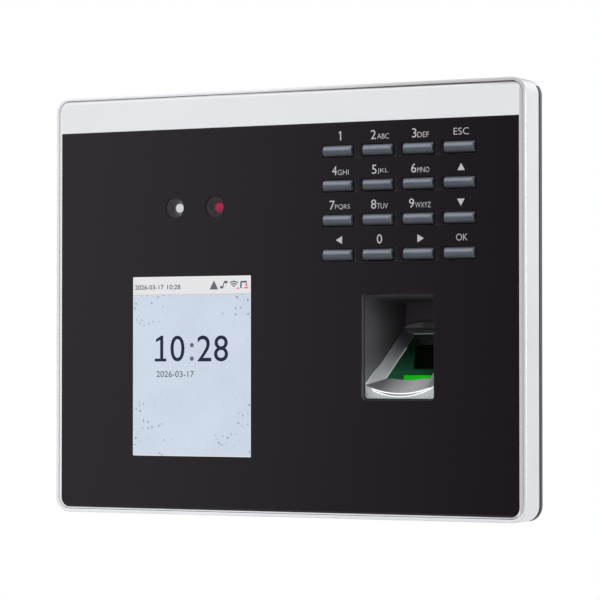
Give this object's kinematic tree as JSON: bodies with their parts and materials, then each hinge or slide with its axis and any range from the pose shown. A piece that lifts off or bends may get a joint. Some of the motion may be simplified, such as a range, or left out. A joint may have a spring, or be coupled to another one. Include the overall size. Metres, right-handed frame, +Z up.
{
  "type": "fingerprint scanner terminal",
  "caption": "Wall-mounted access and attendance terminal with a finger pocket, keypad, small display and two cameras.",
  "frame": {"origin": "centre of the wall plate's back face, on the wall", "axes": "+X to the right as seen from the front, +Y from the front into the wall, +Z up"},
  "size_m": [0.167, 0.038, 0.1354],
  "materials": {
    "frame_silver": "fine satin paint",
    "lens_black": "polished, printed black and silver from behind",
    "tape_black": "adhesive foam",
    "cover_dark": "fine spark texture",
    "key_metallic": "satin metallic paint",
    "silicone": "matt",
    "circuit_board": "solder mask",
    "display_glass": "lit screen",
    "backlight_white": "moulded",
    "camera_black": "moulded barrel with a polished lens",
    "pocket_dark": "satin moulded",
    "bezel_grey": "satin paint",
    "sensor_glass": "polished",
    "optics_black": "matt",
    "light_green": "lit light guide",
    "chip_black": "matt",
    "cell_steel": "brushed",
    "jack_metal": "plated",
    "jack_black": "moulded",
    "header_green": "moulded",
    "plunger_white": "moulded",
    "speaker_black": "moulded",
    "wall_steel": "zinc plated",
    "screw_steel": "zinc plated"
  },
  "bodies": {
    "terminal": {"front_frame": "frame_silver", "front_lens": "lens_black", "lens_tape": "tape_black", "rear_cover": "cover_dark", "keypad_mat": "silicone", "keypad_board": "circuit_board", "display_panel": "display_glass", "display_backlight": "backlight_white", "camera_left": "camera_black", "camera_right": "camera_black", "camera_board": "circuit_board", "finger_pocket": "pocket_dark", "sensor_bezel": "bezel_grey", "sensor_glass": "sensor_glass", "optics_block": "optics_black", "light_bar": "light_green", "sensor_board": "circuit_board", "main_board": "circuit_board", "processor_module": "chip_black", "clock_cell": "cell_steel", "card_antenna": "circuit_board", "ethernet_jack": "jack_metal", "power_jack": "jack_black", "terminal_header_1": "header_green", "terminal_header_2": "header_green", "tamper_switch": "chip_black", "speaker": "speaker_black", "wall_plate": "wall_steel", "locking_screw": "screw_steel", "housing_screw_1": "screw_steel", "housing_screw_2": "screw_steel", "housing_screw_3": "screw_steel", "housing_screw_4": "screw_steel", "board_screw_1": "screw_steel", "board_screw_2": "screw_steel", "board_screw_3": "screw_steel", "board_screw_4": "screw_steel", "board_screw_5": "screw_steel", "board_screw_6": "screw_steel", "board_screw_7": "screw_steel", "board_screw_8": "screw_steel", "board_screw_9": "screw_steel", "board_screw_10": "screw_steel"},
    "key_1": {"key_1": "key_metallic"},
    "key_2": {"key_2": "key_metallic"},
    "key_3": {"key_3": "key_metallic"},
    "key_esc": {"key_esc": "key_metallic"},
    "key_4": {"key_4": "key_metallic"},
    "key_5": {"key_5": "key_metallic"},
    "key_6": {"key_6": "key_metallic"},
    "key_up": {"key_up": "key_metallic"},
    "key_7": {"key_7": "key_metallic"},
    "key_8": {"key_8": "key_metallic"},
    "key_9": {"key_9": "key_metallic"},
    "key_down": {"key_down": "key_metallic"},
    "key_left": {"key_left": "key_metallic"},
    "key_0": {"key_0": "key_metallic"},
    "key_right": {"key_right": "key_metallic"},
    "key_ok": {"key_ok": "key_metallic"},
    "tamper_plunger": {"tamper_plunger": "plunger_white"}
  },
  "joints": [
    {"name": "key_1_press", "type": "slide", "parent": "terminal", "child": "key_1", "axis": [0, 1, 0], "range_m": [0, 0.0012], "stiffness_N_per_m": 800, "deforming": ["keypad_mat"]},
    {"name": "key_2_press", "type": "slide", "parent": "terminal", "child": "key_2", "axis": [0, 1, 0], "range_m": [0, 0.0012], "stiffness_N_per_m": 800, "deforming": ["keypad_mat"]},
    {"name": "key_3_press", "type": "slide", "parent": "terminal", "child": "key_3", "axis": [0, 1, 0], "range_m": [0, 0.0012], "stiffness_N_per_m": 800, "deforming": ["keypad_mat"]},
    {"name": "key_esc_press", "type": "slide", "parent": "terminal", "child": "key_esc", "axis": [0, 1, 0], "range_m": [0, 0.0012], "stiffness_N_per_m": 800, "deforming": ["keypad_mat"]},
    {"name": "key_4_press", "type": "slide", "parent": "terminal", "child": "key_4", "axis": [0, 1, 0], "range_m": [0, 0.0012], "stiffness_N_per_m": 800, "deforming": ["keypad_mat"]},
    {"name": "key_5_press", "type": "slide", "parent": "terminal", "child": "key_5", "axis": [0, 1, 0], "range_m": [0, 0.0012], "stiffness_N_per_m": 800, "deforming": ["keypad_mat"]},
    {"name": "key_6_press", "type": "slide", "parent": "terminal", "child": "key_6", "axis": [0, 1, 0], "range_m": [0, 0.0012], "stiffness_N_per_m": 800, "deforming": ["keypad_mat"]},
    {"name": "key_up_press", "type": "slide", "parent": "terminal", "child": "key_up", "axis": [0, 1, 0], "range_m": [0, 0.0012], "stiffness_N_per_m": 800, "deforming": ["keypad_mat"]},
    {"name": "key_7_press", "type": "slide", "parent": "terminal", "child": "key_7", "axis": [0, 1, 0], "range_m": [0, 0.0012], "stiffness_N_per_m": 800, "deforming": ["keypad_mat"]},
    {"name": "key_8_press", "type": "slide", "parent": "terminal", "child": "key_8", "axis": [0, 1, 0], "range_m": [0, 0.0012], "stiffness_N_per_m": 800, "deforming": ["keypad_mat"]},
    {"name": "key_9_press", "type": "slide", "parent": "terminal", "child": "key_9", "axis": [0, 1, 0], "range_m": [0, 0.0012], "stiffness_N_per_m": 800, "deforming": ["keypad_mat"]},
    {"name": "key_down_press", "type": "slide", "parent": "terminal", "child": "key_down", "axis": [0, 1, 0], "range_m": [0, 0.0012], "stiffness_N_per_m": 800, "deforming": ["keypad_mat"]},
    {"name": "key_left_press", "type": "slide", "parent": "terminal", "child": "key_left", "axis": [0, 1, 0], "range_m": [0, 0.0012], "stiffness_N_per_m": 800, "deforming": ["keypad_mat"]},
    {"name": "key_0_press", "type": "slide", "parent": "terminal", "child": "key_0", "axis": [0, 1, 0], "range_m": [0, 0.0012], "stiffness_N_per_m": 800, "deforming": ["keypad_mat"]},
    {"name": "key_right_press", "type": "slide", "parent": "terminal", "child": "key_right", "axis": [0, 1, 0], "range_m": [0, 0.0012], "stiffness_N_per_m": 800, "deforming": ["keypad_mat"]},
    {"name": "key_ok_press", "type": "slide", "parent": "terminal", "child": "key_ok", "axis": [0, 1, 0], "range_m": [0, 0.0012], "stiffness_N_per_m": 800, "deforming": ["keypad_mat"]},
    {"name": "tamper_press", "type": "slide", "parent": "terminal", "child": "tamper_plunger", "axis": [0, -1, 0], "range_m": [0, 0.0003], "stiffness_N_per_m": 400}
  ]
}
